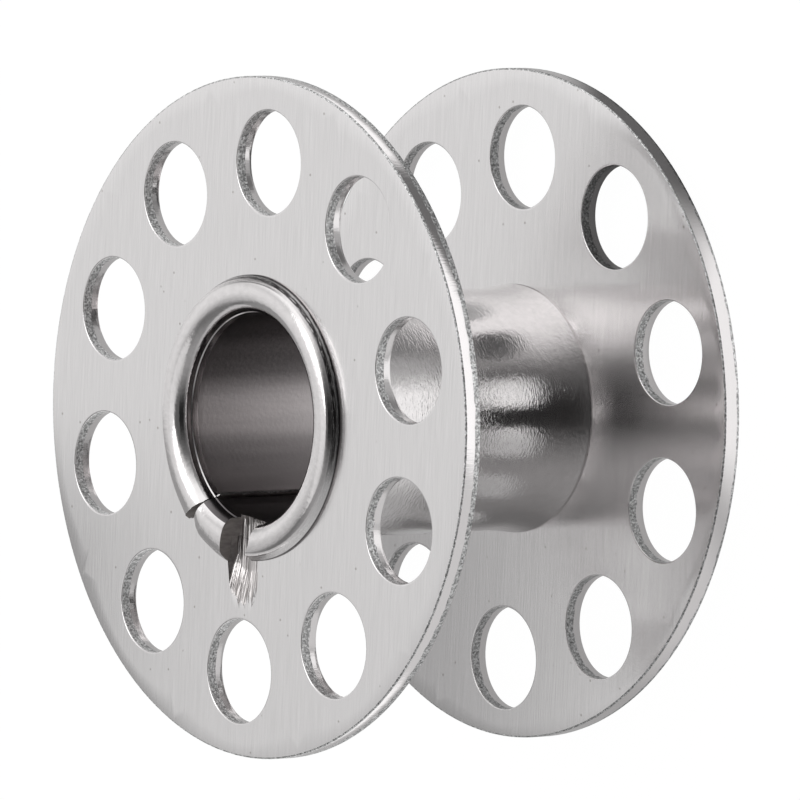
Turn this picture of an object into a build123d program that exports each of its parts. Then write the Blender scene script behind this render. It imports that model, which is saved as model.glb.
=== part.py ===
from build123d import *
from math import cos, radians, sin, tan
import os

# Sewing machine bobbin, the plated steel kind of the class 15 size.
# Two flanges punched from sheet sit on a barrel that is rolled from a strip, with a butt seam.
# Each end of the barrel passes through its flange and is flared over it into a thick lip.
# A chisel mark through the upper lip stakes the upper flange, so that it can't turn.
# Millimetres, +Z along the bobbin's axis. The bobbin stands on the crest of its lower lip,
# and the origin is at the middle of that crest. Angles are measured from +X towards +Y.

# Flanges
flange_diameter = 20.5
flange_thickness = 0.56
thread_width = 9.4
rim_bevel = 0.08
hole_count = 10
hole_diameter = 3.15
hole_to_rim = 0.975
hole_bevel = 0.06
upper_hole_angle = 88.6
lower_hole_angle = 90.7

# Barrel, rolled from a strip
bore_diameter = 6.3
strip_thickness = 0.55
neck_clearance = 0.02
shoulder_swell = 0.16
shoulder_length = 1.5
shoulder_bevel = 0.05

# Flared lips
lip_overhang = 0.60
lip_height = 0.45
lip_outer_round = 0.30
lip_side_lean = 30
lip_foot_height = 0.04
lip_inner_bevel = 0.30
lip_tuck = 0.05
mouth_flare = 0.17
mouth_step = 0.08
mouth_taper = 0.22

# Butt seam
seam_angle = 235.5
seam_gap = 0.05
seam_opening = 0.45

# Chisel mark
stake_angle = 267.5
stake_left = 0.74
stake_right = 0.72
stake_depth = 0.26
stake_right_depth = 0.05
stake_flat = 0.25
stake_length = 1.25
lip_cut_start = 257.6
lip_cut_end = 275.0

# Heights worked out from the sizes above
lower_outer_face = lip_height
lower_inner_face = lower_outer_face + flange_thickness
upper_inner_face = lower_inner_face + thread_width
upper_outer_face = upper_inner_face + flange_thickness
overall_height = upper_outer_face + lip_height
mid_height = overall_height / 2

# Radii worked out from the sizes above
flange_radius = flange_diameter / 2
hole_radius = hole_diameter / 2
hole_circle_radius = flange_radius - hole_to_rim - hole_radius
bore_radius = bore_diameter / 2
mouth_radius = bore_radius + mouth_flare
barrel_radius = bore_radius + strip_thickness
flange_bore_radius = barrel_radius + neck_clearance
shoulder_radius = barrel_radius + shoulder_swell
lip_radius = barrel_radius + lip_overhang
past_lip = lip_radius + lip_height
beyond = overall_height


def punched_flange(base_height, outer_side_up, first_hole_angle):
    """A flat disc with a middle hole and a ring of holes, whose edges the punch drew in."""
    with BuildPart() as flange:
        with BuildSketch(Plane.XY.offset(base_height)):
            Circle(flange_radius)
            Circle(flange_bore_radius, mode=Mode.SUBTRACT)
            with PolarLocations(hole_circle_radius, hole_count, start_angle=first_hole_angle):
                Circle(hole_radius, mode=Mode.SUBTRACT)
        extrude(amount=flange_thickness)
        upward = Axis.Z if outer_side_up else -Axis.Z
        inner_edges, *_, outer_edges = flange.edges().filter_by(GeomType.CIRCLE).group_by(upward)
        chamfer(outer_edges.sort_by(SortBy.RADIUS)[-1], rim_bevel)
        chamfer(inner_edges.filter_by(lambda edge: edge.radius < flange_bore_radius), hole_bevel)
    return flange.part


# Staking chisel: the space that its stroke clears, seen from the side and carried across.
# Its floor is level under the lip, runs out through the flange and climbs towards its right side.
chisel_radial = Vector(cos(radians(stake_angle)), sin(radians(stake_angle)), 0)
chisel_leftward = chisel_radial.cross(Vector(0, 0, 1))
deep_corner = chisel_leftward * stake_left + Vector(0, 0, upper_outer_face - stake_depth)
shallow_corner = chisel_leftward * -stake_right + Vector(0, 0, upper_outer_face - stake_right_depth)
floor_across = deep_corner - shallow_corner
with BuildPart() as chisel:
    with BuildSketch(Plane(origin=deep_corner, x_dir=chisel_radial, z_dir=floor_across)):
        with BuildLine():
            Polyline(
                (bore_radius / 2, 0),
                (lip_radius + stake_flat, 0),
                (lip_radius + stake_length, stake_depth),
                (lip_radius + stake_length, beyond),
                (bore_radius / 2, beyond),
                close=True,
            )
        make_face()
    extrude(amount=-floor_across.length)

# Gap that the chisel tears in the lip: a sector that goes as deep as the chisel's floor
with BuildPart() as lip_cut:
    with BuildSketch(Plane.XY.offset(upper_outer_face)) as torn_sector:
        with BuildLine():
            first_side = PolarLine((0, 0), past_lip, lip_cut_start)
            last_side = PolarLine((0, 0), past_lip, lip_cut_end)
            RadiusArc(first_side @ 1, last_side @ 1, -past_lip)
        make_face()
    extrude(amount=-stake_depth * 2)
    add(chisel.part, mode=Mode.INTERSECT)
    extrude(torn_sector.sketch, amount=lip_height * 2)

# Upper flange, with its outer face up and the chisel mark in it
upper_blank = punched_flange(upper_inner_face, True, upper_hole_angle)
with BuildPart() as upper_flange:
    add(upper_blank)
    add(chisel.part, mode=Mode.SUBTRACT)

# Lower flange, with its outer face down
lower_blank = punched_flange(lower_outer_face, False, lower_hole_angle)
with BuildPart() as lower_flange:
    add(lower_blank)

# Barrel: half of its section, from the middle of its length up over the lip, then mirrored
inner_face = thread_width / 2
outer_face = inner_face + flange_thickness
crest = outer_face + lip_height
band_top = outer_face - mouth_step
band_bottom = band_top - mouth_taper
lip_foot = outer_face + lip_foot_height
side_height = crest - lip_outer_round * (1 - sin(radians(lip_side_lean))) - lip_foot
side_reach = lip_outer_round * cos(radians(lip_side_lean)) + side_height * tan(radians(lip_side_lean))
with BuildPart() as barrel:
    with BuildSketch(Plane(origin=(0, 0, mid_height), x_dir=(1, 0, 0), z_dir=(0, -1, 0))):
        with BuildLine():
            bore_wall = Line((bore_radius, 0), (bore_radius, band_bottom))
            band = Line(bore_wall @ 1, (mouth_radius, band_top))
            mouth = Line(band @ 1, (mouth_radius, crest - lip_inner_bevel))
            inner_corner = Line(mouth @ 1, (mouth_radius + lip_inner_bevel, crest))
            top = Line(inner_corner @ 1, (lip_radius - side_reach, crest))
            outer_corner = JernArc(top @ 1, (1, 0), lip_outer_round, lip_side_lean - 90)
            side = Line(outer_corner @ 1, (lip_radius, lip_foot))
            tuck = Line(side @ 1, (lip_radius - lip_tuck, outer_face))
            seat = Line(tuck @ 1, (barrel_radius, outer_face))
            neck = Line(seat @ 1, (barrel_radius, inner_face))
            shoulder = Line(neck @ 1, (shoulder_radius - shoulder_bevel, inner_face))
            bevel = Line(shoulder @ 1, (shoulder_radius, inner_face - shoulder_bevel))
            swell_foot = (barrel_radius, inner_face - shoulder_length)
            TangentArc(swell_foot, bevel @ 1, tangent=(0, 1))
            outside = Line(swell_foot, (barrel_radius, 0))
            mirror(about=Plane.XZ)
        make_face()
    revolve(axis=Axis.Z)
    # Butt seam: a thin slit along the whole barrel
    with BuildSketch(Plane.XY):
        with PolarLocations(past_lip / 2, 1, start_angle=seam_angle):
            Rectangle(past_lip, seam_gap)
    extrude(amount=overall_height, mode=Mode.SUBTRACT)
    # The strip's ends part where the lips stretch them
    for face_height, outward in ((lower_outer_face, -1), (upper_outer_face, 1)):
        with BuildSketch(Plane.XY.offset(face_height)):
            Polygon(
                (mouth_radius, 0),
                (lip_radius, 0),
                (lip_radius, -seam_opening),
                rotation=seam_angle,
                align=None,
            )
        extrude(amount=outward * lip_height, mode=Mode.SUBTRACT)
    add(lip_cut.part, mode=Mode.SUBTRACT)

upper_flange.part.label = "upper_flange"
lower_flange.part.label = "lower_flange"
barrel.part.label = "barrel"

os.makedirs("parts", exist_ok=True)
export_step(upper_flange.part, "parts/upper_flange.step")
export_step(lower_flange.part, "parts/lower_flange.step")
export_step(barrel.part, "parts/barrel.step")
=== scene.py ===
# %% [markdown]
# # A sewing machine bobbin in nickel-plated steel
#
# The real bobbin is three pieces of thin steel: two punched discs and a rolled tube whose
# ends are flared over them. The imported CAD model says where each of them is. This lesson
# replaces each solid by a finer surface in the same place, and then finishes, lights and
# photographs them. Everything is in metres, so sizes are written in millimetres times `mm`.

# %% Load the frame
import math

import bpy
import numpy as np
from mathutils import Matrix, Vector


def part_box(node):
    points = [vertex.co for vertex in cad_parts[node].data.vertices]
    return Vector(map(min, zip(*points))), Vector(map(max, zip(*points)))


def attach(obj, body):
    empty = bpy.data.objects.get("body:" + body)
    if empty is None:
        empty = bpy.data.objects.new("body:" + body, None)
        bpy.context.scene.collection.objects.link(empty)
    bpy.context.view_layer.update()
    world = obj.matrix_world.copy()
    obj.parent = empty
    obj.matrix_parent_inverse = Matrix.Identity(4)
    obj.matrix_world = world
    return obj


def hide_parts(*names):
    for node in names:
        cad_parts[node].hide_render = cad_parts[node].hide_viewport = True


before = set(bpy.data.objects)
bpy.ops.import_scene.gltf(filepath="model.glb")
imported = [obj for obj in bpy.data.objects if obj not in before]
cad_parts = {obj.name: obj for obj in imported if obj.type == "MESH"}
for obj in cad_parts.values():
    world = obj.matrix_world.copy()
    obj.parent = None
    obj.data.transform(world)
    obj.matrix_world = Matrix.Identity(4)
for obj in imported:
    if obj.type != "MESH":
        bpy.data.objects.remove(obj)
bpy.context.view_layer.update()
mm = 0.001

# %% [markdown]
# ## Sizes
#
# The frame gives the outer sizes, which must not change here. What it doesn't give, such as
# the hole circle, is written as a named value, the same as in the CAD source.

# %% Read the sizes
upper_low, upper_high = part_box("upper_flange")
lower_low, lower_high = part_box("lower_flange")
barrel_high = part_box("barrel")[1]
flange_radius = upper_high.x
upper_outer_face = upper_high.z
upper_inner_face = upper_low.z
lower_inner_face = lower_high.z
lower_outer_face = lower_low.z
lip_radius = barrel_high.x
crest = barrel_high.z
hole_count = 10
hole_radius = 1.575 * mm
hole_circle_radius = 7.7 * mm
upper_hole_angle = 88.6
lower_hole_angle = 90.7
barrel_radius = 3.70 * mm
bore_radius = 3.15 * mm
mouth_radius = 3.32 * mm
flange_bore_radius = 3.72 * mm
print("flange diameter, mm:", round(2 * flange_radius / mm, 3), "height, mm:", round(crest / mm, 3))

# %% [markdown]
# ## From numbers to a mesh
#
# Every piece below is a grid of points worked out with numpy. Two small helpers turn grids
# into meshes: one lists the quads between the rows and columns of a grid, and the other
# stacks several grids into one mesh and welds the points that lie on each other.


# %% Helpers for grids
def grid_quads(rows, columns, wrap_rows=False, wrap_columns=False):
    """Corner numbers of the quads of a rows by columns grid: each joins a point to its
    right, diagonal and lower neighbours, and a wrapped side joins its last line to its first."""
    last_row = rows if wrap_rows else rows - 1
    last_column = columns if wrap_columns else columns - 1
    row, column = np.meshgrid(np.arange(last_row), np.arange(last_column), indexing="ij")
    next_row = (row + 1) % rows
    next_column = (column + 1) % columns
    corners = (
        row * columns + column,
        row * columns + next_column,
        next_row * columns + next_column,
        next_row * columns + column,
    )
    return np.stack(corners, axis=-1).reshape(-1, 4)


def weld(points, quads, gap=0.0005 * mm):
    """Gives points that lie within a gap of each other one number: positions are rounded
    to the gap, equal ones are merged, and quads that shrink to a line are dropped."""
    rounded = np.round(points / gap).astype(np.int64)
    _, first, number = np.unique(rounded, axis=0, return_index=True, return_inverse=True)
    quads = number.reshape(-1)[quads]
    alive = (quads[:, 0] != quads[:, 2]) & (quads[:, 1] != quads[:, 3])
    return points[first], quads[alive], alive


def ragged(position, spacing, seed):
    """Smooth random numbers from -1 to 1: values at even steps, joined by straight lines."""
    values = np.random.default_rng(seed).uniform(-1, 1, 1000)
    return np.interp(position / spacing, np.arange(1000), values)


def round_axis(radius, turn, height):
    """Points at a radius and a height, turned round the axis: (r cos, r sin, height)."""
    flat = (radius * np.cos(turn), radius * np.sin(turn), height)
    return np.stack(np.broadcast_arrays(*flat), axis=-1)


def make_piece(name, points, faces, finishes, finish_of_face, uv=None):
    """A mesh object at the origin from points and faces, shaded smooth except at edges
    that turn by more than 40 degrees."""
    mesh = bpy.data.meshes.new(name)
    mesh.from_pydata(points.tolist(), [], [list(face) for face in faces])
    for finish in finishes:
        mesh.materials.append(finish)
    mesh.polygons.foreach_set("material_index", np.asarray(finish_of_face, dtype=np.int32))
    corner_points = np.zeros(len(mesh.loops), dtype=np.int32)
    mesh.loops.foreach_get("vertex_index", corner_points)
    flat = points[:, :2] / mm if uv is None else uv
    layer = mesh.uv_layers.new(name="surface_mm")
    layer.data.foreach_set("uv", flat[corner_points].astype(np.float32).ravel())
    mesh.shade_smooth()
    mesh.set_sharp_from_angle(angle=math.radians(40))
    mesh.validate()
    piece = bpy.data.objects.new(name, mesh)
    bpy.context.scene.collection.objects.link(piece)
    print(name, "points:", len(mesh.vertices), "faces:", len(mesh.polygons))
    return piece


# %% [markdown]
# ## Helpers for materials
#
# Colours are written as the sRGB hex values that a paint program shows, and one function
# turns them to the linear values that the renderer works with. Another adds a node with
# its settings and its inputs, which are plain values or links.


# %% Helpers for materials
def linear(hex_colour):
    """sRGB hex to linear: below 0.04045 divide by 12.92, else ((value + 0.055) / 1.055)^2.4."""
    shares = np.array([int(hex_colour[i : i + 2], 16) / 255 for i in (1, 3, 5)])
    curved = ((shares + 0.055) / 1.055) ** 2.4
    return (*np.where(shares <= 0.04045, shares / 12.92, curved), 1.0)


def add_node(tree, kind, settings=None, inputs=None):
    """Adds a node, sets its properties, and fills its inputs with values or links."""
    made = tree.nodes.new(kind)
    for name, value in (settings or {}).items():
        setattr(made, name, value)
    for name, value in (inputs or {}).items():
        if isinstance(value, bpy.types.NodeSocket):
            tree.links.new(value, made.inputs[name])
        else:
            made.inputs[name].default_value = value
    return made


def new_material(name):
    """A material with an empty tree, the tree, and the place on the object, which most
    patterns read."""
    material = bpy.data.materials.new(name)
    material.use_nodes = True
    material.node_tree.nodes.clear()
    print("material:", name)
    place = add_node(material.node_tree, "ShaderNodeTexCoord").outputs["Object"]
    return material, material.node_tree, place


def ramp(tree, factor, stops):
    """A colour ramp from grey stops, each a (position, grey) pair."""
    made = add_node(tree, "ShaderNodeValToRGB", inputs={"Fac": factor})
    while len(made.color_ramp.elements) < len(stops):
        made.color_ramp.elements.new(0.5)
    for element, (position, grey) in zip(made.color_ramp.elements, stops):
        element.position = position
        element.color = (grey, grey, grey, 1)
    return made.outputs["Color"]


# %% [markdown]
# Four steps come back in the finishes below: noise of a real size in millimetres, a blend of
# two colours, bands that follow the turn round the axis, and the metal itself with its bump.

# %% Steps that the finishes share
multiply = {"operation": "MULTIPLY"}
multiply_add = {"operation": "MULTIPLY_ADD"}
greatest = {"operation": "MAXIMUM"}
in_colour = {"data_type": "RGBA"}
in_numbers = {"data_type": "FLOAT"}
smooth = {"interpolation_type": "SMOOTHSTEP"}


def noise_of_size(tree, place, lengths, detail=2.0, roughness=0.5):
    """Noise whose lumps are about as long as the lengths in x, y and z, or one for all three:
    the place is divided by them before the noise reads it."""
    shrink = [1 / float(length) for length in np.broadcast_to(lengths, 3)]
    spot = add_node(tree, "ShaderNodeVectorMath", multiply, {0: place, 1: shrink}).outputs[0]
    sizes = {"Vector": spot, "Scale": 1.0, "Detail": detail, "Roughness": roughness}
    return add_node(tree, "ShaderNodeTexNoise", inputs=sizes).outputs["Fac"]


def blend_hex(tree, share, first, last):
    """A colour that goes from the first sRGB hex value to the last as a share goes 0 to 1."""
    mix = {"Factor": share, "A": linear(first), "B": linear(last)}
    return add_node(tree, "ShaderNodeMix", in_colour, mix).outputs["Result"]


def bands_round_axis(tree, direction, bands, scale=1.0):
    """Grey bands by azimuth, as (degrees from +X towards +Y, brightness) pairs. The brightness
    is divided by the scale, because a colour ramp ends at 1."""
    parts = add_node(tree, "ShaderNodeSeparateXYZ", inputs={0: direction}).outputs
    sides = {0: parts["Y"], 1: parts["X"]}
    azimuth = add_node(tree, "ShaderNodeMath", {"operation": "ARCTAN2"}, sides).outputs[0]
    full_turn = {"Value": azimuth, "From Min": -math.pi, "From Max": math.pi}
    share = add_node(tree, "ShaderNodeMapRange", inputs=full_turn).outputs["Result"]
    return ramp(tree, share, [((at + 180) / 360, level / scale) for at, level in bands])


def finish_metal(tree, colour, height, roughness, strength, depth, more=None):
    """Ends a metal's tree with its colour and roughness, and a bump that turns a height
    from 0 to 1 into a depth."""
    relief = {"Height": height, "Strength": strength, "Distance": depth}
    normal = add_node(tree, "ShaderNodeBump", inputs=relief).outputs["Normal"]
    look = {"Base Color": colour, "Metallic": 1.0, "Roughness": roughness, "Normal": normal}
    metal = add_node(tree, "ShaderNodeBsdfPrincipled", inputs=look | (more or {}))
    add_node(tree, "ShaderNodeOutputMaterial", inputs={"Surface": metal.outputs["BSDF"]})


# %% [markdown]
# ## Finish of the flanges: nickel-plated sheet steel, brushed
#
# The discs are punched from brushed sheet and then bright nickel-plated. The plate keeps the
# brush lines, which all run one way, so a reflection is smeared across them and the surface
# looks silky. The lines could be modelled, but they are hundredths of a millimetre wide, so
# noise that is stretched along the grain gives them as bump, roughness and a little colour.
# The real lines are about 0.02 mm wide. They are drawn about 0.05 mm wide, to show at all.

# %% Brushed nickel plate
grain_width = 0.05 * mm
grain_length = 1.6 * mm
streak_width = 0.35 * mm
streak_length = 9.0 * mm
speck_spacing = 0.7 * mm

brushed_nickel, tree, place = new_material("nickel_plated_steel_brushed_sheet")
grain_sizes = (grain_width, grain_length, grain_length)
streak_sizes = (streak_width, streak_length, streak_length)
grain = noise_of_size(tree, place, grain_sizes, detail=3.0, roughness=0.6)
streak = noise_of_size(tree, place, streak_sizes)
cells = {"Vector": place, "Scale": 1 / speck_spacing, "Randomness": 1.0}
speckle = add_node(tree, "ShaderNodeTexVoronoi", {"feature": "F1"}, cells)
speck = ramp(tree, speckle.outputs["Distance"], [(0.04, 1.0), (0.075, 0.0)])
shade = blend_hex(tree, grain, "#DCDADA", "#F2F0F0")
dusted = {"Factor": speck, "A": shade, "B": linear("#C2BFBC")}
speckled = add_node(tree, "ShaderNodeMix", in_colour, dusted).outputs["Result"]
silk = {"Value": streak, "To Min": 0.13, "To Max": 0.18}
roughness = add_node(tree, "ShaderNodeMapRange", inputs=silk).outputs["Result"]
along_grain = {"direction_type": "UV_MAP", "uv_map": "surface_mm"}
tangent = add_node(tree, "ShaderNodeTangent", along_grain).outputs["Tangent"]
smeared = {"Anisotropic": 0.8, "Tangent": tangent}
finish_metal(tree, speckled, grain, roughness, strength=0.35, depth=0.004 * mm, more=smeared)

# %% [markdown]
# ## Finish of the sheared edges
#
# A punch first cuts a smooth band into the sheet and then tears the rest, so half of each
# hole's wall and of the rim is rough and sparkles in small facets under the plate. Noise at
# the size of the torn grains, a few hundredths of a millimetre, tilts the surface that way.

# %% Torn edge under nickel plate
torn_grain = 0.07 * mm
cut_line = 0.06 * mm

torn_nickel, tree, place = new_material("nickel_plated_steel_torn_edge")
torn = noise_of_size(tree, place, torn_grain, detail=3.0, roughness=0.7)
torn_shade = ramp(tree, torn, [(0.37, 0.18), (0.50, 0.46), (0.63, 0.85)])
finish_metal(tree, torn_shade, torn, roughness=0.32, strength=0.9, depth=0.03 * mm)

cut_nickel, tree, place = new_material("nickel_plated_steel_cut_band")
lines = noise_of_size(tree, place, (cut_line, cut_line, 8 * cut_line))
finish_metal(tree, linear("#E4E1E1"), lines, roughness=0.14, strength=0.4, depth=0.01 * mm)

# %% [markdown]
# ## Finish of the barrel: nickel-plated steel, rolled
#
# The barrel is bent from a strip and its lips are spun over, which leaves a faint orange
# peel and fine scratches round it. The plate is brighter than on the flanges, so it mirrors
# the studio in soft bands. Small pits make it sparkle, and there are fewer on the lips, which
# the tool pressed. Scratches and pits follow the piece's own UV map, which holds millimetres
# round the barrel and along its section, so their sizes below are in millimetres too.

# %% Rolled nickel plate
peel_size = 0.22 * mm
scratch_length = 2.5
scratch_width = 0.05
pit_length = 0.15
pit_width = 0.075
peel_share = 0.6
scratch_share = 0.12
pit_share_on_barrel = 0.75
pit_share_on_lip = 0.15

rolled_nickel, tree, place = new_material("nickel_plated_steel_rolled_strip")
surface = add_node(tree, "ShaderNodeUVMap", {"uv_map": "surface_mm"}).outputs["UV"]
peel = noise_of_size(tree, place, peel_size, detail=3.0, roughness=0.6)
scratch = noise_of_size(tree, surface, (scratch_length, scratch_width, 1))
pits = noise_of_size(tree, surface, (pit_length, pit_width, 1), detail=3.0, roughness=0.6)
up = add_node(tree, "ShaderNodeSeparateXYZ", inputs={0: place}).outputs["Z"]
pit_fade = {
    "Value": up,
    "From Min": upper_inner_face,
    "From Max": upper_outer_face,
    "To Min": pit_share_on_barrel,
    "To Max": pit_share_on_lip,
}
pit_share = add_node(tree, "ShaderNodeMapRange", inputs=pit_fade).outputs["Result"]
height = add_node(tree, "ShaderNodeMath", multiply, {0: peel, 1: peel_share}).outputs[0]
for pattern, share in ((scratch, scratch_share), (pits, pit_share)):
    sums = {0: pattern, 1: share, 2: height}
    height = add_node(tree, "ShaderNodeMath", multiply_add, sums).outputs[0]
shade = blend_hex(tree, peel, "#DAD7D7", "#EFECEC")
finish_metal(tree, shade, height, roughness=0.12, strength=0.5, depth=0.02 * mm)

# %% [markdown]
# ## The flanges
#
# Each flange is a disc with ten holes. A disc with holes is awkward as one grid, but each
# tenth of it is a ring: the hole's circle inside, and the outline of the sector outside.
# So the grid's columns go round the hole, and its rows go from the outline across the
# flat face to the hole, round the hole's edge, down its wall, and back along the other face.
# The rim and the middle hole are two more grids, round the whole disc.

# %% Lay out one sector
arc_steps = 24
side_steps = 22
inner_steps = 6
half_sector = math.pi / hole_count
rim_round = 0.05 * mm
edge_round = 0.03 * mm
back_round = 0.02 * mm
face_radius = flange_radius - rim_round


def sector_outline():
    """The outline of a tenth of the face, in the sector's own axes with x through the
    hole's middle: outer arc, one side inwards, inner arc, and the other side outwards."""
    outer_turn = np.linspace(-half_sector, half_sector, arc_steps + 1)[:-1]
    side_radius = np.linspace(face_radius, flange_bore_radius, side_steps + 1)[:-1]
    inner_turn = np.linspace(half_sector, -half_sector, inner_steps + 1)[:-1]
    back_radius = np.linspace(flange_bore_radius, face_radius, side_steps + 1)[:-1]
    outer, inner = np.full(arc_steps, face_radius), np.full(inner_steps, flange_bore_radius)
    radius = np.concatenate((outer, side_radius, inner, back_radius))
    first, last = np.full(side_steps, half_sector), np.full(side_steps, -half_sector)
    turn = np.concatenate((outer_turn, first, inner_turn, last))
    return np.stack((radius * np.cos(turn), radius * np.sin(turn)), axis=-1)


def edge_curve(radius, steps):
    """A rounded edge as (inset, drop) pairs: inset falls as radius times 1 - sin(angle),
    and drop grows as radius times 1 - cos(angle)."""
    angle = np.linspace(0, math.pi / 2, steps + 1)
    return np.stack((radius * (1 - np.sin(angle)), radius * (1 - np.cos(angle))), axis=-1)


# %% [markdown]
# The rows of a sector are triples: how far towards the outline the point is (1 is on it),
# how much wider than the hole it lies, and how far below the upper face. Rows that lie close
# together beside an edge keep the flat face flat, and the edge crisp. The line between the
# smooth part and the torn part of a sheared wall is never straight, so its rows waver.

# %% Make a flange
hole_torn_share = 0.54
waver = 0.035 * mm
waver_step = 0.18 * mm


def wavering(points, seed):
    """How far a line of points on a wall strays up or down: ragged numbers along its turn."""
    along = np.unwrap(np.arctan2(points[..., 1], points[..., 0]), axis=-1)
    along = along - along.min(axis=-1, keepdims=True)
    return waver * ragged(along * np.hypot(points[..., 0], points[..., 1]), waver_step, seed)


def flange_rows(thickness):
    """Rows from the outline of the upper face, over the hole's wall, to the lower face."""
    across = np.array([1.0, 0.6, 0.3, 0.1, 0.02])
    front = np.stack((across, np.full(5, edge_round), np.zeros(5)), axis=-1)
    front_edge = np.insert(edge_curve(edge_round, 3), 0, 0, axis=1)
    wall_drop = np.array([0.3, hole_torn_share, 0.8]) * thickness
    wall = np.stack((np.zeros(3), np.zeros(3), wall_drop), axis=-1)
    back_edge = np.insert(edge_curve(back_round, 2), 0, 0, axis=1)[::-1]
    back_edge[:, 2] = thickness - back_edge[:, 2]
    back = np.stack((across[::-1], np.full(5, back_round), np.full(5, thickness)), axis=-1)
    return np.concatenate((front, front_edge, wall, back_edge, back))


def even_turns(first_hole_angle, steps):
    """Turns in even steps, as many to a sector as stated, from the first sector's side."""
    count = hole_count * steps
    return np.radians(first_hole_angle) - half_sector + 2 * math.pi * np.arange(count) / count


# %% The surface of a flange
def flange_surface(thickness, first_hole_angle, rim_smooth_share):
    """Points of a flange with its upper face at height 0 and the rest below it.
    A point is (hole's middle + ray times its radius) times (1 - across) + outline times across."""
    outline = sector_outline()
    middle = np.array([hole_circle_radius, 0.0])
    ray = outline - middle
    ray = ray / np.linalg.norm(ray, axis=1, keepdims=True)
    across, wider, drop = flange_rows(thickness).T
    on_hole = middle + ray * (hole_radius + wider)[:, None, None]
    flat = on_hole * (1 - across)[:, None, None] + outline * across[:, None, None]
    turns = np.radians(first_hole_angle) + 2 * half_sector * np.arange(hole_count)
    spin = np.stack(
        (np.cos(turns), np.sin(turns), -np.sin(turns), np.cos(turns)), axis=-1
    ).reshape(hole_count, 2, 2)
    turned = np.einsum("rcx,hxy->hrcy", flat, spin)
    heights = np.broadcast_to(-drop[None, :, None], turned.shape[:3]).copy()
    torn_line = int(np.argmin(np.abs(drop - hole_torn_share * thickness) + across))
    heights[:, torn_line] += wavering(np.broadcast_to(ray * hole_radius, turned[:, 0].shape), 8)
    rings = np.concatenate((turned, heights[..., None]), axis=-1)
    ring_quads = grid_quads(len(across), len(outline), wrap_columns=True)
    on_wall = (across[:-1] + across[1:] == 0) & (drop[:-1] >= edge_round - 1e-9)
    torn_rows = on_wall & (drop[1:] <= hole_torn_share * thickness + 1e-9)
    ring_finish = np.repeat(torn_rows * 1 + (on_wall & ~torn_rows) * 2, len(outline))

    around = even_turns(first_hole_angle, arc_steps)
    smooth_end = rim_smooth_share * thickness
    rim_front = edge_curve(rim_round, 4)
    rim_back = edge_curve(rim_round, 4)[::-1]
    rim_back[:, 1] = thickness - rim_back[:, 1]
    rim = np.concatenate((rim_front, [[0, smooth_end]], rim_back))[::-1]
    rim_radius = flange_radius - rim[:, 0]
    rim_points = round_axis(rim_radius[:, None], around, -rim[:, 1:2])
    torn_line = int(np.argmin(np.abs(rim[:, 1] - smooth_end)))
    rim_points[torn_line, :, 2] += wavering(rim_points[torn_line], 9)
    rim_drop = (rim[:-1, 1] + rim[1:, 1]) / 2
    rim_is_torn = (rim_drop > smooth_end) | (rim_drop < rim_round)
    rim_finish = np.repeat(np.where(rim_is_torn, 1, 2), len(around))

    inner = even_turns(first_hole_angle, inner_steps)
    bore_drop = np.array([0.0, 0.5 * thickness, thickness])
    bore_points = round_axis(flange_bore_radius, inner, -bore_drop[:, None])
    per_ring = len(across) * len(outline)
    quads = [ring_quads + per_ring * hole for hole in range(hole_count)]
    before_rim = per_ring * hole_count
    before_bore = before_rim + rim_points.size // 3
    quads.append(grid_quads(len(rim), len(around), wrap_columns=True) + before_rim)
    quads.append(grid_quads(3, len(inner), wrap_columns=True) + before_bore)
    finish = [ring_finish] * hole_count + [rim_finish, np.full(len(quads[-1]), 2)]
    points = np.concatenate([grid.reshape(-1, 3) for grid in (rings, rim_points, bore_points)])
    return points, np.concatenate(quads), np.concatenate(finish)


def outward(points, faces, reach):
    """True if the faces point away from the piece: the signed volume, a third of the sum of
    each face's corner dotted with its area vector, is positive."""
    a, b, c, d = (points[faces[:, i]] for i in range(4))
    return np.einsum("ij,ij->", a, np.cross(c - a, d - b)) / reach > 0


# %% Make the two flanges
def make_flange(
    name, node, upper_face, lower_face, first_hole_angle, rim_smooth_share, rim_stray=(0, 0)
):
    """A flange between its two faces. The die that cuts the rim can sit a little out of line
    with the holes: a point outside them moves by rim_stray millimetres, times the share of the
    way from the holes to the rim at which it lies."""
    points, quads, finish = flange_surface(
        upper_face - lower_face, first_hole_angle, rim_smooth_share
    )
    points[:, 2] += upper_face
    holes_end = hole_circle_radius + hole_radius
    out_share = (np.hypot(points[:, 0], points[:, 1]) - holes_end) / (face_radius - holes_end)
    points[:, :2] += np.clip(out_share, 0, 1)[:, None] * np.array(rim_stray) * mm
    points, quads, alive = weld(points, quads)
    finish = finish[alive]
    if not outward(points, quads, flange_radius):
        quads = quads[:, ::-1]
    piece = make_piece(name, points, quads, [brushed_nickel, torn_nickel, cut_nickel], finish)
    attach(piece, "root")
    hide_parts(node)
    return piece


upper_disc = make_flange(
    "upper_flange_disc", "upper_flange", upper_outer_face, upper_inner_face, upper_hole_angle, 0.62
)
make_flange(
    "lower_flange_disc",
    "lower_flange",
    lower_inner_face,
    lower_outer_face,
    lower_hole_angle,
    0.80,
    rim_stray=(-0.125, 0.145),
)
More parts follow.
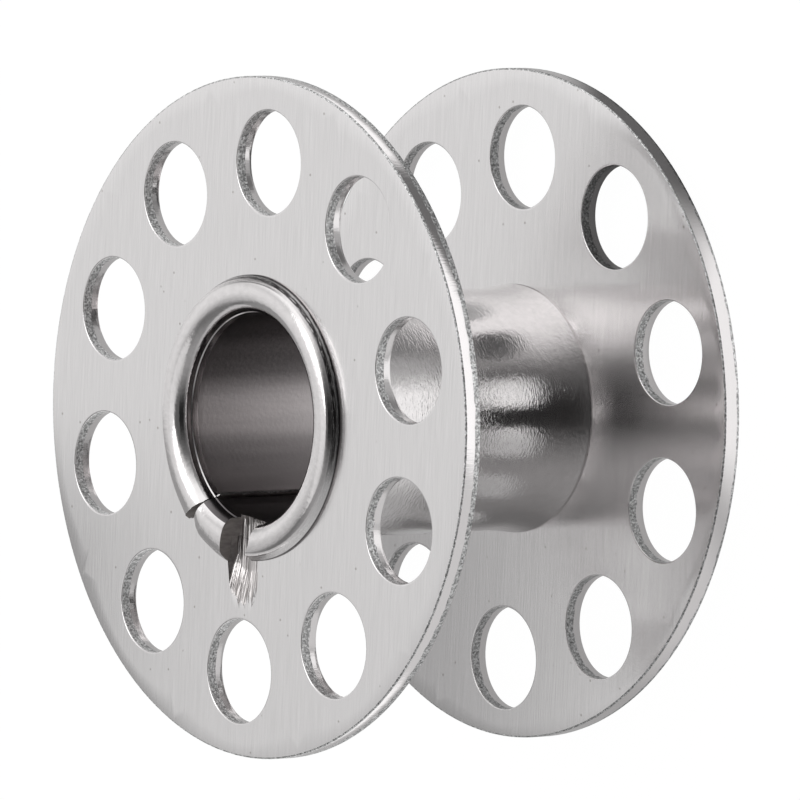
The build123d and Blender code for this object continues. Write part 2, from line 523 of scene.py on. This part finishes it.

# %% [markdown]
# Two more finishes belong to the barrel. Where metal was sheared it shows bare steel, matt and
# smeared; its dark tone is partly the steel's own and partly painted shade, for the shade that
# the chisel's wall mirrors. Inside the tube, darker and lighter bands round the axis are painted
# shade and painted reflection, with random streaks along the tube on top.

# %% Sheared steel and the bore
smear_width = 0.12 * mm
smear_height = 0.5 * mm
streak_width = 0.9 * mm
streak_height = 12 * mm
bath_grain = 0.12 * mm
bore_painted_shade_bands = [
    (-180, 1.0), (-168, 0.9), (-160, 0.6), (-150, 0.55), (-138, 0.85), (-126, 0.95),
    (-124, 0.2), (-85, 0.18), (-60, 0.5), (-20, 0.8), (30, 0.8), (70, 0.7), (95, 0.45),
    (112, 0.24), (135, 0.22), (148, 0.5), (162, 0.5), (170, 0.9), (180, 1.0),
]
sheared_steel_and_shade, tree, place = new_material("steel_sheared_with_painted_shade")
# Its dark tone is partly the bare steel's own and partly painted shade, for the chisel wall's
# shade.
smear = noise_of_size(tree, place, (smear_width, smear_width, smear_height), detail=3.0)
shade = blend_hex(tree, smear, "#5E5856", "#D2CDCB")
finish_metal(tree, shade, smear, roughness=0.42, strength=0.5, depth=0.01 * mm)

bore_nickel, tree, place = new_material("nickel_plated_steel_bore_painted_shade")
# Bands round the axis: painted shade and painted reflection on the bore's sides.
band = bands_round_axis(tree, place, bore_painted_shade_bands)
streak = noise_of_size(tree, place, (streak_width, streak_width, streak_height), detail=3.0)
streak = ramp(tree, streak, [(0.3, 0.7), (0.7, 1.0)])
shade_and_streak = add_node(tree, "ShaderNodeMath", multiply, {0: band, 1: streak}).outputs[0]
shade = blend_hex(tree, shade_and_streak, "#3A3537", "#E0DCDC")
peel = noise_of_size(tree, place, bath_grain)
finish_metal(tree, shade, peel, roughness=0.3, strength=0.5, depth=0.008 * mm)

# %% [markdown]
# The strip's own cut end ends up as the lip's outer side, sheared and ragged. Its tone is mostly
# painted light: bands round the axis are painted reflection, dark over part of the turn and light
# over the rest; light lines at set heights up the side are painted highlights; and a dark line
# at its foot, where it meets the flange, is painted shade. Bright lines that the tool scratched
# run along it.

# %% The lip's outer side
side_painted_light_bands = [
    (-180, 0.75), (-60, 1.0), (-22, 0.95), (-10, 0.12), (25, 0.02), (75, 0.03), (110, 0.08),
    (140, 0.7), (180, 0.75),
]
lip_edge, tree, place = new_material("steel_sheared_lip_side")
surface = add_node(tree, "ShaderNodeUVMap", {"uv_map": "surface_mm"}).outputs["UV"]
# Painted reflection round the axis: dark over part of the turn, light over the rest.
painted_light_band = bands_round_axis(tree, place, side_painted_light_bands)
up = add_node(tree, "ShaderNodeSeparateXYZ", inputs={0: place}).outputs["Z"]
side_foot, side_top = upper_outer_face + 0.04 * mm, upper_outer_face + 0.27 * mm
side = {"Value": up, "From Min": side_foot, "From Max": side_top}
side_share = add_node(tree, "ShaderNodeMapRange", inputs=side).outputs["Result"]
# Light lines at set heights up the side: painted highlights.
highlight_line_stops = [(0.18, 0.0), (0.28, 0.5), (0.38, 0.5), (0.5, 0.0), (0.8, 0.0), (1.0, 0.45)]
painted_highlight_lines = ramp(tree, side_share, highlight_line_stops)
tool_scratch = (0.3, 0.04, 1)
scratch = noise_of_size(tree, surface, tool_scratch, detail=3.0, roughness=0.7)
scratched = ramp(tree, scratch, [(0.5, 0.0), (0.68, 0.9)])
brightest = painted_highlight_lines
for other in (scratched, painted_light_band):
    both = {0: brightest, 1: other}
    brightest = add_node(tree, "ShaderNodeMath", greatest, both).outputs[0]
# Darker at the foot, where the side meets the flange: painted shade.
foot_painted_shade = ramp(tree, side_share, [(0.08, 0.1), (0.2, 1.0)])
both = {0: brightest, 1: foot_painted_shade}
brightest = add_node(tree, "ShaderNodeMath", multiply, both).outputs[0]
shade = blend_hex(tree, brightest, "#2E2A2B", "#EFEDED")
finish_metal(tree, shade, scratch, roughness=0.22, strength=0.5, depth=0.015 * mm)

# %% [markdown]
# ## The barrel and its lips
#
# The barrel is a strip bent round until its ends nearly meet, so its surface is one section,
# carried round the axis from one side of the seam to the other and closed by the two cut
# ends. The section goes up the outside, swells where it meets the flange, passes through
# it, rolls over into the lip, and goes down the bore.

# %% The section
lip_top = 3.72 * mm
dome_radius = 1.0 * mm
lip_outer_round = 0.24 * mm
lip_tuck = 0.05 * mm
shoulder_swell = 0.11 * mm
shoulder_length = 1.3 * mm
shoulder_bevel = 0.05 * mm
side_lean = 30
dome_end = 73
mouth_end = upper_outer_face - 0.28 * mm
middle_height = crest / 2


def line_points(start, end, steps):
    """Points from start up to, but not including, end."""
    share = np.arange(steps)[:, None] / steps
    return np.array(start) * (1 - share) + np.array(end) * share


def arc_points(middle, radius, first, last, steps):
    """Points on an arc: middle + radius times (cos, sin), its end left out."""
    angle = np.radians(first + (last - first) * np.arange(steps) / steps)
    return np.array(middle) + radius * np.stack((np.cos(angle), np.sin(angle)), axis=-1)


def oval_points(middle, radii, first, last, steps):
    """Points on an ellipse: middle + (radii x cos, radii y sin), its end left out."""
    angle = np.radians(first + (last - first) * np.arange(steps) / steps)
    return np.array(middle) + np.array(radii) * np.stack((np.cos(angle), np.sin(angle)), axis=-1)


mouth_ridges = [
    (3.20 * mm, upper_outer_face - 0.02 * mm),
    (3.195 * mm, upper_outer_face - 0.05 * mm),
    (3.165 * mm, upper_outer_face - 0.08 * mm),
    (3.16 * mm, upper_outer_face - 0.12 * mm),
    (3.155 * mm, upper_outer_face - 0.20 * mm),
]


def barrel_section():
    """The closed section as (radius, height) pairs: the upper half, and the same mirrored."""
    swell_share = np.arange(16) / 16
    swell_height = upper_inner_face - shoulder_length
    swell_top = upper_inner_face - shoulder_bevel
    swell = np.stack(
        (
            barrel_radius + shoulder_swell * swell_share**2,
            swell_height + (swell_top - swell_height) * swell_share,
        ),
        axis=-1,
    )
    shoulder_radius = barrel_radius + shoulder_swell
    top_middle = (lip_top, crest - dome_radius)
    lean = math.radians(side_lean)
    end = math.radians(dome_end)
    to_round = (dome_radius - lip_outer_round) * np.array([math.cos(end), math.sin(end)])
    round_middle = np.array(top_middle) + to_round
    side_top = round_middle + lip_outer_round * np.array([math.cos(lean), math.sin(lean)])
    side_bottom = (side_top[0] + (side_top[1] - side_foot) * math.tan(lean), side_foot)
    necked = shoulder_radius - shoulder_bevel
    seat_end = (lip_radius - lip_tuck, upper_outer_face)
    upper = np.concatenate(
        (
            line_points((barrel_radius, middle_height), (barrel_radius, swell_height), 16),
            swell,
            line_points((shoulder_radius, swell_top), (necked, upper_inner_face), 2),
            line_points((necked, upper_inner_face), (barrel_radius, upper_inner_face), 2),
            line_points((barrel_radius, upper_inner_face), (barrel_radius, upper_outer_face), 2),
            line_points((barrel_radius, upper_outer_face), seat_end, 3),
            line_points(seat_end, side_bottom, 3),
            line_points(side_bottom, side_top, 6),
            arc_points(round_middle, lip_outer_round, side_lean, dome_end, 8),
            arc_points(top_middle, dome_radius, dome_end, 90, 6),
            oval_points((lip_top, crest - 0.45 * mm), (0.52 * mm, 0.45 * mm), 90, 180, 18),
            np.array(mouth_ridges),
            line_points((bore_radius, mouth_end), (bore_radius, middle_height), 24),
        )
    )
    lower = upper[::-1].copy()
    lower[:, 1] = 2 * middle_height - lower[:, 1]
    return np.concatenate((upper, lower[1:-1]))


section = barrel_section()
print("section points:", len(section))

# %% [markdown]
# The seam's two ends aren't straight. Where the lip is stretched they part in a V, and along
# the bore the shears left a ragged burr that catches the light. So the angle at which each
# row of the grid ends depends on where the row is on the section. The lengths on the UV map
# start at the outside's middle and run both ways, so that the pattern has its joint unseen,
# inside the tube.

# %% Carry the section round
seam_angle = 235.5
seam_gap = 0.05 * mm
seam_opening = 0.45 * mm
splay_root = 3.5 * mm
lip_splay = [
    (235.5, -0.12), (238.0, 0.08), (241.0, 0.19), (250.0, 0.23), (260.0, 0.24), (268.0, 0.0),
    (560.0, 0.0), (585.0, 0.10), (595.5, 0.18),
]


def barrel_points():
    """Points of the barrel: radius and height come from the section, and the angle goes
    from the seam round to the seam. Near its end the angle falls back by the V's width."""
    radius, height = section.T
    fine = np.concatenate((np.arange(0, 4, 0.25), np.arange(4, 10, 0.5)))
    share = np.concatenate((fine, np.arange(10, 350, 1.0), (360 - fine)[::-1])) / 360
    in_lip = np.abs(height - middle_height) >= upper_outer_face - middle_height - 1e-7
    opening = np.where(
        in_lip,
        np.clip((radius - mouth_radius) / (lip_radius - mouth_radius), 0, 1) * seam_opening,
        0,
    )
    near_end = np.clip((share - 0.97) / 0.03, 0, 1) ** 2
    turn_degrees = seam_angle + 360 * share
    splay = np.interp(turn_degrees, *np.transpose(lip_splay)) * mm
    reach = np.clip((radius - splay_root) / (lip_radius - splay_root), 0, 1) * in_lip
    half_gap = seam_gap / 2 / barrel_radius
    start = math.radians(seam_angle) + half_gap
    turn = start + (2 * math.pi - 2 * half_gap) * share[None, :]
    turn = turn - (opening / radius)[:, None] * near_end
    burr = 0.015 * mm * ragged(height + 3 * radius, 0.12 * mm, 4)
    turn = turn + (burr / radius)[:, None] * np.clip((share - 0.99) / 0.01, 0, 1)
    upper = height > middle_height
    wide = radius[:, None] + (reach * upper)[:, None] * splay
    in_bore = (radius < bore_radius + 0.01 * mm)[:, None]
    ridge = 0.05 * mm * (1.2 + ragged(height, 0.10 * mm, 5))[:, None]
    wide = wide - in_bore * ridge * np.clip((share - 0.992) / 0.008, 0, 1)
    wide = wide + in_bore * 0.05 * mm * np.clip(1 - share / 0.02, 0, 1)
    return round_axis(wide, turn, height[:, None])


# %% The strip and its finishes
surface_points = barrel_points()
rows, columns = surface_points.shape[:2]
points = surface_points.reshape(-1, 3)
quads = grid_quads(rows, columns, wrap_rows=True)
if not outward(points, quads, lip_radius):
    quads = quads[:, ::-1]
first_end = np.arange(rows) * columns
last_end = first_end + columns - 1
faces = quads.tolist() + [first_end.tolist(), last_end[::-1].tolist()]
steps = np.linalg.norm(np.roll(section, -1, axis=0) - section, axis=1)
section_length = np.cumsum(steps) - steps
below_middle = np.arange(rows) > rows / 2
section_length = np.where(below_middle, section_length - steps.sum(), section_length)
around_mm = np.linspace(0, 2 * math.pi * barrel_radius / mm, columns)
barrel_uv = np.stack(np.broadcast_arrays(around_mm, section_length[:, None] / mm), axis=-1)
in_bore = section[:, 0] < bore_radius + 0.001 * mm
bore_rows = in_bore & np.roll(in_bore, -1)
mouth_rows = (section[:, 0] < mouth_radius + 0.05 * mm) & (section[:, 1] > middle_height)
short_piece_columns = 42
burr_columns = 8
column = np.arange(columns - 1)
# The bore and the short piece's mouth by the seam take the bore's finish, with its painted shade.
bore_shade_rows = bore_rows[:, None] | (mouth_rows[:, None] & (column < short_piece_columns))
torn_burr = bore_rows[:, None] & (column >= columns - 1 - burr_columns)
side_heights = np.abs(section[:, 1] - middle_height) - (upper_outer_face - middle_height)
on_side = (section[:, 0] > lip_top + 0.3 * mm) & (side_heights > 0.03 * mm)
on_side = on_side & (side_heights < 0.27 * mm)
side_rows = (on_side & np.roll(on_side, -1))[:, None] & np.ones(columns - 1, bool)
print("rows on the lips' outer sides:", int(side_rows[:, 0].sum()))
strip_finish = np.concatenate(((bore_shade_rows * 1 + torn_burr * 2 + side_rows * 4).ravel(), [2, 2]))
barrel_uv = barrel_uv.reshape(-1, 2)
finishes = [rolled_nickel, bore_nickel, sheared_steel_and_shade, torn_nickel, lip_edge]
strip = make_piece("barrel_strip", points, faces, finishes, strip_finish, barrel_uv)
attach(strip, "root")
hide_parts("barrel")

# %% [markdown]
# ## The chisel mark
#
# After the lips are rolled, a blow with a small chisel through the upper lip keeps the disc
# from turning. It leaves a gap in the lip and a slanting groove in the disc, with one steep
# smooth wall, a floor with drag lines, and a torn side. The mark is easiest to describe as
# the space that the chisel swept: a grid for its floor, carried up past the lip, and then
# subtracted from the disc and from the barrel.

# %% The space that the chisel swept
chisel_angle = 267.5
shallow_depth = 0.05
deep_depth = 0.25
run_out_length = 0.95 * mm
left_lean = 0.45
floor_drag = 0.05 * mm

chiselled_nickel, tree, place = new_material("nickel_plated_steel_chiselled")
drag = noise_of_size(tree, place, (floor_drag, 20 * floor_drag, floor_drag / 0.3))
drag_share = ramp(tree, drag, [(0.38, 0.0), (0.6, 1.0)])
shade = blend_hex(tree, drag_share, "#7A7675", "#DEDAD9")
finish_metal(tree, shade, drag, roughness=0.28, strength=0.6, depth=0.02 * mm)


def stroke_points(along, across, height):
    """Points from chisel coordinates: along the stroke, and across it towards its left."""
    angle = math.radians(chisel_angle)
    x = along * math.cos(angle) + across * math.sin(angle)
    y = along * math.sin(angle) - across * math.cos(angle)
    return np.stack(np.broadcast_arrays(x, y, height), axis=-1)


def closed_loops(name, loops, finishes, finish_of_column):
    """A closed piece from loops of points: quads join each loop to the next, and the first
    and the last loop are faces of their own, in the first finish."""
    count, loop = loops.shape[:2]
    points = loops.reshape(-1, 3)
    quads = grid_quads(count, loop, wrap_columns=True)
    ends = [list(range(loop))[::-1], list(range((count - 1) * loop, count * loop))]
    if not outward(points, quads, lip_radius):
        quads = quads[:, ::-1]
        ends = [end[::-1] for end in ends]
    finish = np.append(np.tile(finish_of_column, count - 1), [0, 0])
    return make_piece(name, points, quads.tolist() + ends, finishes, finish)


def chisel_space(name, stations, left, right):
    """A closed mesh over the chisel's floor. Along the stroke s and across it w, the floor's
    depth goes from shallow at the right to deep at the left, times the run-out, plus drag
    lines that depend on w alone. left and right give the sides' w for each s, and the left
    side leans in by a share of its depth."""
    along = np.linspace(stations[0], stations[-1], 60)[:, None] * mm
    share = np.linspace(0, 1, 110)[None, :]
    left_side = np.interp(along, np.array(stations) * mm, np.array(left) * mm)
    right_side = np.interp(along, np.array(stations) * mm, np.array(right) * mm)
    left_depth = deep_depth * mm * np.clip((5.22 * mm - along) / run_out_length, 0, 1)
    left_foot = left_side - left_lean * left_depth
    across = left_foot * (1 - share) + right_side * share
    slope = np.clip((across / mm + 0.70) / 1.30, 0, 1)
    end_at = (-0.65, -0.25, 0.24, 0.45, 0.62)
    stroke_end = np.interp(across / mm, end_at, (5.44, 5.58, 5.58, 5.42, 5.2))
    run_out = np.clip((stroke_end * mm - along) / run_out_length, -0.2, 1)
    wander = across + 2 * mm + 0.03 * (along - stations[0] * mm)
    lines = ragged(wander, 0.045 * mm, 7) + 0.8 * ragged(wander, 0.11 * mm, 8)
    groove = 0.03 * np.clip(1 - (across - right_side) / (0.08 * mm), 0, 1)
    depth = (shallow_depth + (deep_depth - shallow_depth) * slope) * run_out
    depth = depth + 0.020 * lines + groove * np.clip(run_out, 0, 0.5)
    floor_height = upper_outer_face - depth * mm
    top_height = np.full(floor_height.shape, crest + 0.5 * mm)
    over = left_side * (1 - share) + right_side * share
    below = stroke_points(along, across, floor_height)
    above = stroke_points(along, over, top_height)[:, ::-1]
    ledge = stroke_points(along, left_side, np.full(left_side.shape, upper_outer_face))
    loops = np.concatenate((below, above, ledge), axis=1)
    on_left = np.arange(loops.shape[1]) >= loops.shape[1] - 2
    return closed_loops(name, loops, [chiselled_nickel, sheared_steel_and_shade], on_left)


def combine(piece, tool, operation):
    """Subtracts a tool from a piece or adds it, keeps the result as the piece's mesh, and
    deletes the tool."""
    boolean = piece.modifiers.new("chisel", "BOOLEAN")
    boolean.operation = operation
    boolean.solver = "EXACT"
    boolean.material_mode = "TRANSFER"
    boolean.object = tool
    depsgraph = bpy.context.evaluated_depsgraph_get()
    mesh = bpy.data.meshes.new_from_object(piece.evaluated_get(depsgraph))
    piece.modifiers.clear()
    piece.data = mesh
    mesh.shade_smooth()
    mesh.set_sharp_from_angle(angle=math.radians(32))
    bpy.data.objects.remove(tool)
    print(piece.name, operation, "faces:", len(mesh.polygons))


# %% Cut the disc and the lip
combine(
    upper_disc,
    chisel_space(
        "space_over_disc",
        (3.0, 4.2, 4.46, 4.75, 5.05, 5.28, 5.7),
        (0.80, 0.80, 0.79, 0.72, 0.65, 0.58, 0.40),
        (-0.65, -0.68, -0.70, -0.74, -0.75, -0.72, -0.62),
    ),
    "DIFFERENCE",
)
combine(
    strip,
    chisel_space(
        "space_in_lip",
        (2.9, 3.2, 3.45, 3.75, 4.0, 4.15, 4.3, 4.9),
        (0.60, 0.62, 0.62, 0.64, 0.68, 0.70, 0.72, 0.82),
        (-0.84, -0.80, -0.77, -0.72, -0.56, -0.46, -0.44, -0.65),
    ),
    "DIFFERENCE",
)

# %% [markdown]
# The chisel pushed a thin flake of metal in over the bore. It starts on the floor of the cut
# and curls to the right, where it thins out to a point.

# %% The flake
flake_thickness = 0.05 * mm


def flake():
    """A thin closed sheet. Across the stroke w runs over the rows, and each row goes over
    the top from its outer to its inner edge and back below."""
    across = np.linspace(0.58, -0.83, 60)[:, None]
    outer_edge = np.interp(-across, (-0.58, 0.0, 0.33, 0.83), (3.6, 3.58, 3.36, 3.10))
    inner_edge = 3.03 + 0.03 * ragged((across + 1) * mm, 0.09 * mm, 12)
    share = np.linspace(0, 1, 12)[None, :]
    along = outer_edge * (1 - share) + inner_edge * share
    lines = ragged((across + 2) * mm, 0.05 * mm, 7)
    height = -0.27 + 0.16 * (0.58 - across) + 0.014 * lines + 0.05 * share**2
    top = stroke_points(along * mm, across * mm, upper_outer_face + height * mm)
    bottom = top[:, ::-1] - np.array([0, 0, flake_thickness])
    loops = np.concatenate((top, bottom), axis=1)
    return closed_loops("flake", loops, [chiselled_nickel], np.zeros(loops.shape[1], int))


combine(strip, flake(), "UNION")

# %% [markdown]
# ## Studio
#
# A product photograph of bright metal shows little but its surroundings, so the studio is
# built first of all from what the metal mirrors: a white floor that only the metal sees with
# patches of painted light and painted shade, and a painted shadow of the object round its foot,
# a net, and a room in rings of light.

# %% Floor
floor_size = 3.0
bore_patch_radius = 3.3 * mm
painted_shadow_near = 0.45
paper_far = 1.4
painted_light_under_bore = 1.3
paper_for_light = 1.02
share_seen = 0.97
share_mirrored = 0.85
# Each patch has a name, its ranges in x and y, the width of its soft edge, and a brightness.
# The patches are painted light and painted shade, seen only in the metal.
painted_floor_patches = [
    ("in front on the right", (7 * mm, 60 * mm), (-60 * mm, -3.5 * mm), 4 * mm, 0.75),
    ("right of the foot", (7.3 * mm, 22 * mm), (-1.6 * mm, 7.0 * mm), 3.5 * mm, 1.2),
    ("behind the barrel", (1.5 * mm, 8.0 * mm), (4.4 * mm, 13 * mm), 2.5 * mm, 0.08),
    ("behind on the right", (4 * mm, 18 * mm), (14 * mm, 60 * mm), 4 * mm, 0.10),
]


# %% Floor patches
def window(tree, value, low, high, soft):
    """1 where a value lies between low and high, falling to 0 over the soft width."""
    sides = []
    for edge, half in ((low, soft / 2), (high, -soft / 2)):
        reach = {"Value": value, "From Min": edge - half, "From Max": edge + half}
        sides.append(add_node(tree, "ShaderNodeMapRange", smooth, reach).outputs["Result"])
    return add_node(tree, "ShaderNodeMath", multiply, {0: sides[0], 1: sides[1]}).outputs[0]


def flat_card(name, corners, material):
    """An object with one four-cornered face."""
    mesh = bpy.data.meshes.new(name)
    mesh.from_pydata([tuple(corner) for corner in corners], [], [(0, 1, 2, 3)])
    mesh.materials.append(material)
    card = bpy.data.objects.new(name, mesh)
    bpy.context.scene.collection.objects.link(card)
    return card


# %% The floor's paint and glow
floor_white, tree, place = new_material("white_floor")
parts = add_node(tree, "ShaderNodeSeparateXYZ", inputs={0: place}).outputs
length = {"operation": "LENGTH"}
from_axis = add_node(tree, "ShaderNodeVectorMath", length, {0: place}).outputs["Value"]
# Lower glow near the object: a painted shadow, seen only in the metal.
outwards = {
    "Value": from_axis,
    "From Min": 21.5 * mm,
    "From Max": 23.5 * mm,
    "To Min": painted_shadow_near,
    "To Max": paper_far,
}
paper = add_node(tree, "ShaderNodeMapRange", smooth, outwards).outputs["Result"]
for patch_name, x_range, y_range, soft, brightness in painted_floor_patches:
    across_x = window(tree, parts["X"], *x_range, soft)
    across_y = window(tree, parts["Y"], *y_range, soft)
    inside = add_node(tree, "ShaderNodeMath", multiply, {0: across_x, 1: across_y}).outputs[0]
    named = in_numbers | {"label": patch_name}
    patched = {"Factor": inside, "A": paper, "B": brightness}
    paper = add_node(tree, "ShaderNodeMix", named, patched).outputs["Result"]
# Higher glow under the bore: painted light that the bore mirrors.
below = {"operation": "LESS_THAN"}
near_axis = {0: from_axis, 1: bore_patch_radius}
under_bore = add_node(tree, "ShaderNodeMath", below, near_axis).outputs[0]
patched = {"Factor": under_bore, "A": paper, "B": painted_light_under_bore}
paper = add_node(tree, "ShaderNodeMix", in_numbers, patched).outputs["Result"]
light_path = add_node(tree, "ShaderNodeLightPath").outputs
glow = {"Factor": light_path["Is Glossy Ray"], "A": paper_for_light, "B": paper}
glow = add_node(tree, "ShaderNodeMix", in_numbers, glow).outputs["Result"]
glowing = {"Color": (1, 1, 1, 1), "Strength": glow}
glowing = add_node(tree, "ShaderNodeEmission", inputs=glowing).outputs[0]
painted = add_node(tree, "ShaderNodeBsdfDiffuse", inputs={"Color": linear("#F4F4F4")}).outputs[0]
seen = {0: light_path["Is Camera Ray"], 1: share_seen}
seen = add_node(tree, "ShaderNodeMath", multiply, seen).outputs[0]
share = {0: light_path["Is Glossy Ray"], 1: share_mirrored, 2: seen}
share = add_node(tree, "ShaderNodeMath", multiply_add, share).outputs[0]
mixed = add_node(tree, "ShaderNodeMixShader", inputs={0: share, 1: painted, 2: glowing})
add_node(tree, "ShaderNodeOutputMaterial", inputs={"Surface": mixed.outputs[0]})
half = floor_size / 2
floor_corners = [(-half, -half, 0), (half, -half, 0), (half, half, 0), (-half, half, 0)]
floor = flat_card("floor", floor_corners, floor_white)

# %% [markdown]
# A net flag is a black net on a frame, which a photographer hangs in front of a softbox to
# take some light off one part of a bright object. One hangs low on the left here, and only the
# lower half of the rear flange mirrors it. Its net lets the light through by a colour
# that goes from white to grey downwards and towards the object's foot.

# %% Net flag
flag_distance = 45 * mm
flag_size = 60 * mm
flag_axis = np.array([-0.788, 0.0, 0.616])
flag_upward = np.array([0.616, 0.0, 0.788])
black_net, tree, place = new_material("black_net")
net_y = add_node(tree, "ShaderNodeSeparateXYZ", inputs={0: place}).outputs["Y"]
dot = {"operation": "DOT_PRODUCT"}
upward = {0: place, 1: tuple(flag_upward)}
net_height = add_node(tree, "ShaderNodeVectorMath", dot, upward).outputs["Value"]
downwards = {"Value": net_y, "From Min": -3.5 * mm, "From Max": -9.5 * mm}
downwards = add_node(tree, "ShaderNodeMapRange", smooth, downwards).outputs["Result"]
footwards = {"Value": net_height, "From Min": 4.5 * mm, "From Max": 1.5 * mm, "To Min": 0.04}
footwards = add_node(tree, "ShaderNodeMapRange", smooth, footwards).outputs["Result"]
net_share = add_node(tree, "ShaderNodeMath", multiply, {0: downwards, 1: footwards}).outputs[0]
net_tone = ramp(tree, net_share, [(0.0, 1.0), (1.0, 0.5)])
net = add_node(tree, "ShaderNodeBsdfTransparent", inputs={"Color": net_tone})
add_node(tree, "ShaderNodeOutputMaterial", inputs={"Surface": net.outputs[0]})

flag_side = np.array([0, 1.0, 0])
flag_corners = [
    flag_axis * flag_distance + flag_size / 2 * (first * flag_side + second * flag_upward)
    for first, second in ((-1, -1), (1, -1), (1, 1), (-1, 1))
]
flag = flat_card("net_flag", flag_corners, black_net)
flag.visible_camera = False
flag.visible_diffuse = False
flag.visible_shadow = False

# %% [markdown]
# The world is the rest of the room. The camera sees plain white. The metal sees three rings,
# one above the other. Each is a list of directions and brightnesses, where a direction is an
# azimuth in degrees: 0 is towards +X and 90 towards +Y. Each brightness was judged by
# asking what the plate that faces that way would have to mirror. The low ring draws the bands
# on the rims and the barrel's foot, the middle one the barrel's dark gap, and the high one
# the highlights on the lips.

# %% World
low_ring = [
    (-180, 0.78), (-165, 0.72), (-150, 0.58), (-120, 0.60), (-70, 0.46), (-45, 0.38),
    (-25, 0.30), (-12, 0.12), (15, 0.14), (50, 0.16), (65, 0.28), (78, 0.55), (92, 0.90),
    (108, 1.10), (125, 0.35), (150, 0.30), (165, 0.74), (180, 0.78),
]
middle_ring = [
    (-180, 0.87), (-170, 0.76), (-160, 0.62), (-150, 0.52), (-140, 0.26), (-130, 0.19),
    (-115, 0.19), (-100, 0.25), (-72, 0.34), (-55, 0.34), (-42, 0.28), (-30, 0.19),
    (-20, 0.10), (-10, 0.03), (0, 0.015), (12, 0.02), (22, 0.06), (42, 0.17), (52, 0.32),
    (62, 0.60), (72, 0.90), (84, 1.12), (100, 1.25), (118, 1.17), (132, 1.03), (145, 0.85),
    (158, 0.74), (170, 0.90), (180, 0.87),
]
high_ring = [
    (-180, 0.90), (-140, 0.80), (-100, 0.74), (-60, 0.55), (-35, 0.20), (-20, 0.12),
    (40, 0.12), (62, 0.70), (85, 1.20), (100, 3.00), (160, 3.00), (175, 1.30), (180, 0.90),
]
ring_scale = 3.0
low_to_middle = (14, 22)
middle_to_high = (52, 58)

world = bpy.data.worlds.new("studio")
bpy.context.scene.world = world
world.use_nodes = True
tree = world.node_tree
tree.nodes.clear()
direction = add_node(tree, "ShaderNodeTexCoord").outputs["Generated"]
up = add_node(tree, "ShaderNodeSeparateXYZ", inputs={0: direction}).outputs["Z"]
elevation = add_node(tree, "ShaderNodeMath", {"operation": "ARCSINE"}, {0: up}).outputs[0]
level = bands_round_axis(tree, direction, low_ring, ring_scale)
for ring, heights in ((middle_ring, low_to_middle), (high_ring, middle_to_high)):
    bottom, top = np.radians(heights)
    climb = {"Value": elevation, "From Min": bottom, "From Max": top}
    passed = add_node(tree, "ShaderNodeMapRange", smooth, climb).outputs["Result"]
    upper_ring = bands_round_axis(tree, direction, ring, ring_scale)
    blend = {"Factor": passed, "A": level, "B": upper_ring}
    level = add_node(tree, "ShaderNodeMix", in_colour, blend).outputs["Result"]
room = add_node(tree, "ShaderNodeBackground", inputs={"Color": level, "Strength": ring_scale})
white = add_node(tree, "ShaderNodeBackground", inputs={"Color": (1, 1, 1, 1), "Strength": 1.0})
seen = add_node(tree, "ShaderNodeLightPath").outputs["Is Camera Ray"]
views = {0: seen, 1: room.outputs[0], 2: white.outputs[0]}
sky = add_node(tree, "ShaderNodeMixShader", inputs=views)
add_node(tree, "ShaderNodeOutputWorld", inputs={"Surface": sky.outputs[0]})
print("world:", world.name)

# %% [markdown]
# ## Camera
#
# The photograph shows the bobbin standing on its rims, seen from its upper flange's side.
# Here it stands on its lower lip, so the same picture needs a camera that is rolled until
# the axis lies level in it. Three turns and a shift in the camera's own axes, found by
# fitting the outlines of the flanges and holes, give its place.

# %% Camera
turn_about_y = math.radians(-51.77)
tilt_about_x = math.radians(5.88)
roll_about_z = math.radians(-2.54)
camera_shift = Vector((-4.3905, -0.5325, -297.96)) * mm
focal_length = 447.1
sensor_width = 36.0

to_camera = (
    Matrix.Rotation(roll_about_z, 3, "Z")
    @ Matrix.Rotation(tilt_about_x, 3, "X")
    @ Matrix.Rotation(turn_about_y, 3, "Y")
)
camera_data = bpy.data.cameras.new("camera")
camera_data.sensor_width = sensor_width
camera_data.lens = focal_length
camera_data.clip_start = 0.01
camera_data.clip_end = 10
camera = bpy.data.objects.new("camera", camera_data)
bpy.context.scene.collection.objects.link(camera)
camera_place = to_camera.transposed() @ -camera_shift + Vector((0, 0, upper_outer_face))
camera.matrix_world = Matrix.Translation(camera_place) @ to_camera.transposed().to_4x4()
bpy.context.scene.camera = camera
bpy.context.scene.view_settings.view_transform = "Standard"
print("camera, mm:", [round(value / mm, 1) for value in camera_place])

# %% Finish
bpy.context.view_layer.update()
